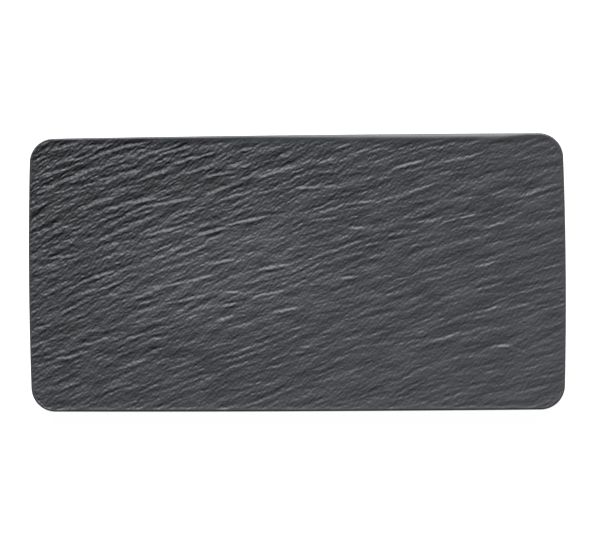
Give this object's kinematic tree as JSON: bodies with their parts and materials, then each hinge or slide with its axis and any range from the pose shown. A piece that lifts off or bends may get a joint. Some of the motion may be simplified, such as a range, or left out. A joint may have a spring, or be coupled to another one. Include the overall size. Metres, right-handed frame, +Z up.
{
  "type": "rectangular platter",
  "caption": "Rectangular slate-look ceramic serving platter with rounded corners, gently bowed sides and a soft rim, standing on bonded rubber feet.",
  "frame": {"origin": "centre of the platter's plan, on the plane that its feet stand on", "axes": "+X along the platter's length, +Y across it towards the far long side, +Z up out of the serving face"},
  "size_m": [0.35, 0.18, 0.01],
  "materials": {
    "slate_glaze": "matt anthracite glaze over a riven-slate relief, smooth at the rim and underneath",
    "foot_rubber": "moulded black rubber with a fine matt grain",
    "adhesive": "thin translucent acrylic bonding film"
  },
  "bodies": {
    "root": {"platter_slab": "slate_glaze", "foot_front_left": "foot_rubber", "foot_front_right": "foot_rubber", "foot_rear_left": "foot_rubber", "foot_rear_right": "foot_rubber", "adhesive_disc_front_left": "adhesive", "adhesive_disc_front_right": "adhesive", "adhesive_disc_rear_left": "adhesive", "adhesive_disc_rear_right": "adhesive"}
  },
  "joints": []
}
